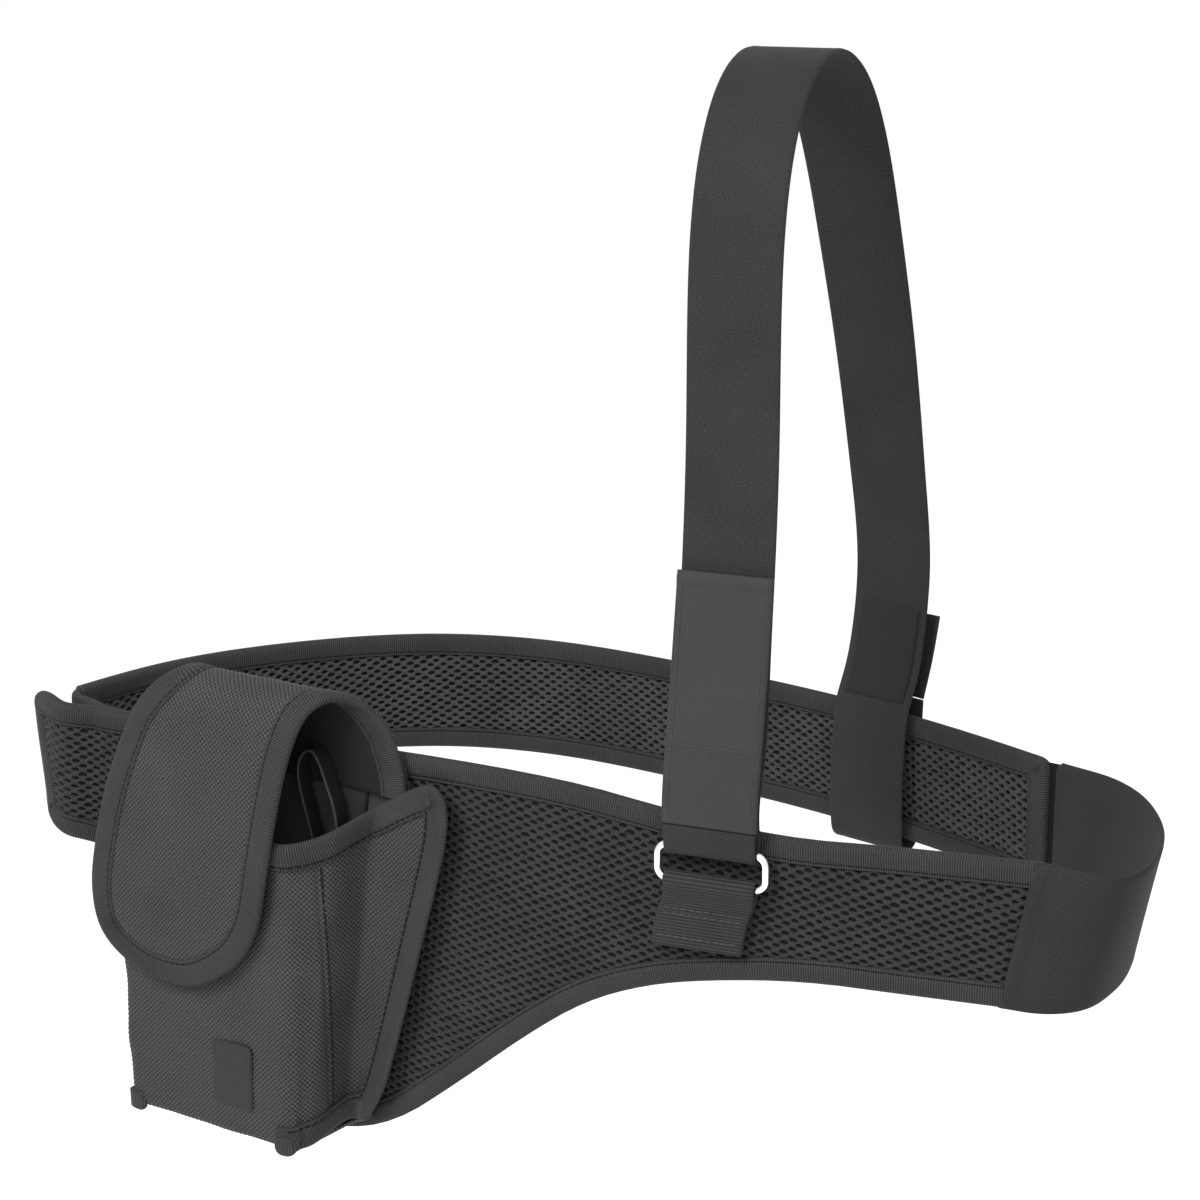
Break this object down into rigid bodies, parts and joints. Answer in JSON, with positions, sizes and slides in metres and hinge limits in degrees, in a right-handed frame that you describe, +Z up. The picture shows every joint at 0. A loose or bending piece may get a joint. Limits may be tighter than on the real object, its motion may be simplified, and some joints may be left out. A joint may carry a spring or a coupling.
{
  "type": "avalanche transceiver harness",
  "caption": "Padded hip belt with a flapped pouch for an avalanche transceiver and an elastic shoulder strap on a ring, closed by hook-and-loop.",
  "frame": {"origin": "middle of the belt's loop, level with the belt's top edge, on the wearer's torso axis", "axes": "+X along the belt's long axis from the pouch side to the elastic corner, +Y from the front panel to the back belt, +Z up towards the shoulder strap"},
  "size_m": [0.5086, 0.2435, 0.4635],
  "materials": {
    "spacer_mesh": "3-D spacer mesh, matt",
    "foam": "closed-cell foam",
    "grosgrain": "ribbed grosgrain tape",
    "ballistic_nylon": "basket-weave nylon",
    "lining": "smooth coated lining",
    "webbing": "woven elastic webbing",
    "elastic": "wide knitted elastic",
    "hook_loop": "hook-and-loop tape",
    "chrome": "polished",
    "label": "plain moulded patch"
  },
  "bodies": {
    "root": {"back_bottom_binding": "grosgrain", "back_end_binding": "grosgrain", "back_foam_core": "foam", "back_inner_mesh": "spacer_mesh", "back_outer_cloth": "lining", "back_top_binding": "grosgrain", "elastic_hem": "elastic", "elastic_panel": "elastic", "front_bottom_binding": "grosgrain", "front_foam_core": "foam", "front_inner_mesh": "spacer_mesh", "front_outer_mesh": "spacer_mesh", "front_top_binding": "grosgrain", "keeper_tab": "webbing", "label_patch": "label", "leash_anchor": "webbing", "left_gusset_binding": "grosgrain", "mouth_binding": "grosgrain", "overlap_wing": "spacer_mesh", "pouch_back_lining": "lining", "pouch_back_wall": "ballistic_nylon", "pouch_bottom": "ballistic_nylon", "pouch_bottom_binding": "grosgrain", "pouch_corner_tabs": "grosgrain", "pouch_front_shell": "ballistic_nylon", "pouch_loop_patch": "hook_loop", "right_gusset_binding": "grosgrain", "side_closure_patch": "hook_loop", "strap_front_run": "webbing", "strap_rear_run": "webbing", "wing_loop_patch": "hook_loop"},
    "closure_tail": {"closure_tail_pad": "spacer_mesh", "closure_tail_binding": "grosgrain", "closure_hook_patch": "hook_loop"},
    "leash": {"leash_loop": "webbing"},
    "flap": {"flap_shell": "ballistic_nylon", "flap_foam": "foam", "flap_lining": "lining", "flap_binding": "grosgrain", "flap_hook_patch": "hook_loop"},
    "ring": {"adjuster_ring": "chrome", "strap_lower_run": "webbing", "strap_loop_patch": "hook_loop"},
    "tongue": {"strap_tongue": "webbing", "tongue_hook_patch": "hook_loop"},
    "rear_slider": {"rear_loop": "webbing", "rear_loop_patch": "hook_loop"},
    "rear_end": {"rear_tab": "webbing", "rear_tab_hook_patch": "hook_loop"}
  },
  "joints": [
    {"name": "flap_hinge", "type": "hinge", "parent": "root", "child": "flap", "pos_m": [-0.0957, -0.08897, 0.0103], "axis": [-0.9816, 0.1908, 0], "range_deg": [0, 100]},
    {"name": "closure_peel", "type": "hinge", "parent": "root", "child": "closure_tail", "pos_m": [-0.2262, -0.0761, -0.0305], "axis": [0, 0, 1], "range_deg": [0, 60]},
    {"name": "leash_flop", "type": "hinge", "parent": "root", "child": "leash", "pos_m": [-0.0791, -0.10055, -0.0323], "axis": [0.9816, -0.1908, 0], "range_deg": [0, 14]},
    {"name": "ring_swing", "type": "hinge", "parent": "root", "child": "ring", "pos_m": [0.0926, -0.1084, -0.0229], "axis": [1, 0, 0], "range_deg": [0, 12]},
    {"name": "tongue_peel", "type": "hinge", "parent": "ring", "child": "tongue", "pos_m": [0.0926, -0.1126, 0.0006], "axis": [1, 0, 0], "range_deg": [0, 85]},
    {"name": "rear_loop_slide", "type": "slide", "parent": "root", "child": "rear_slider", "axis": [0.9397, -0.342, 0], "range_m": [-0.01, 0.01]},
    {"name": "rear_end_peel", "type": "hinge", "parent": "rear_slider", "child": "rear_end", "pos_m": [0.1083, 0.0768, 0.0057], "axis": [-0.9304, 0.3665, 0], "range_deg": [0, 45]}
  ]
}
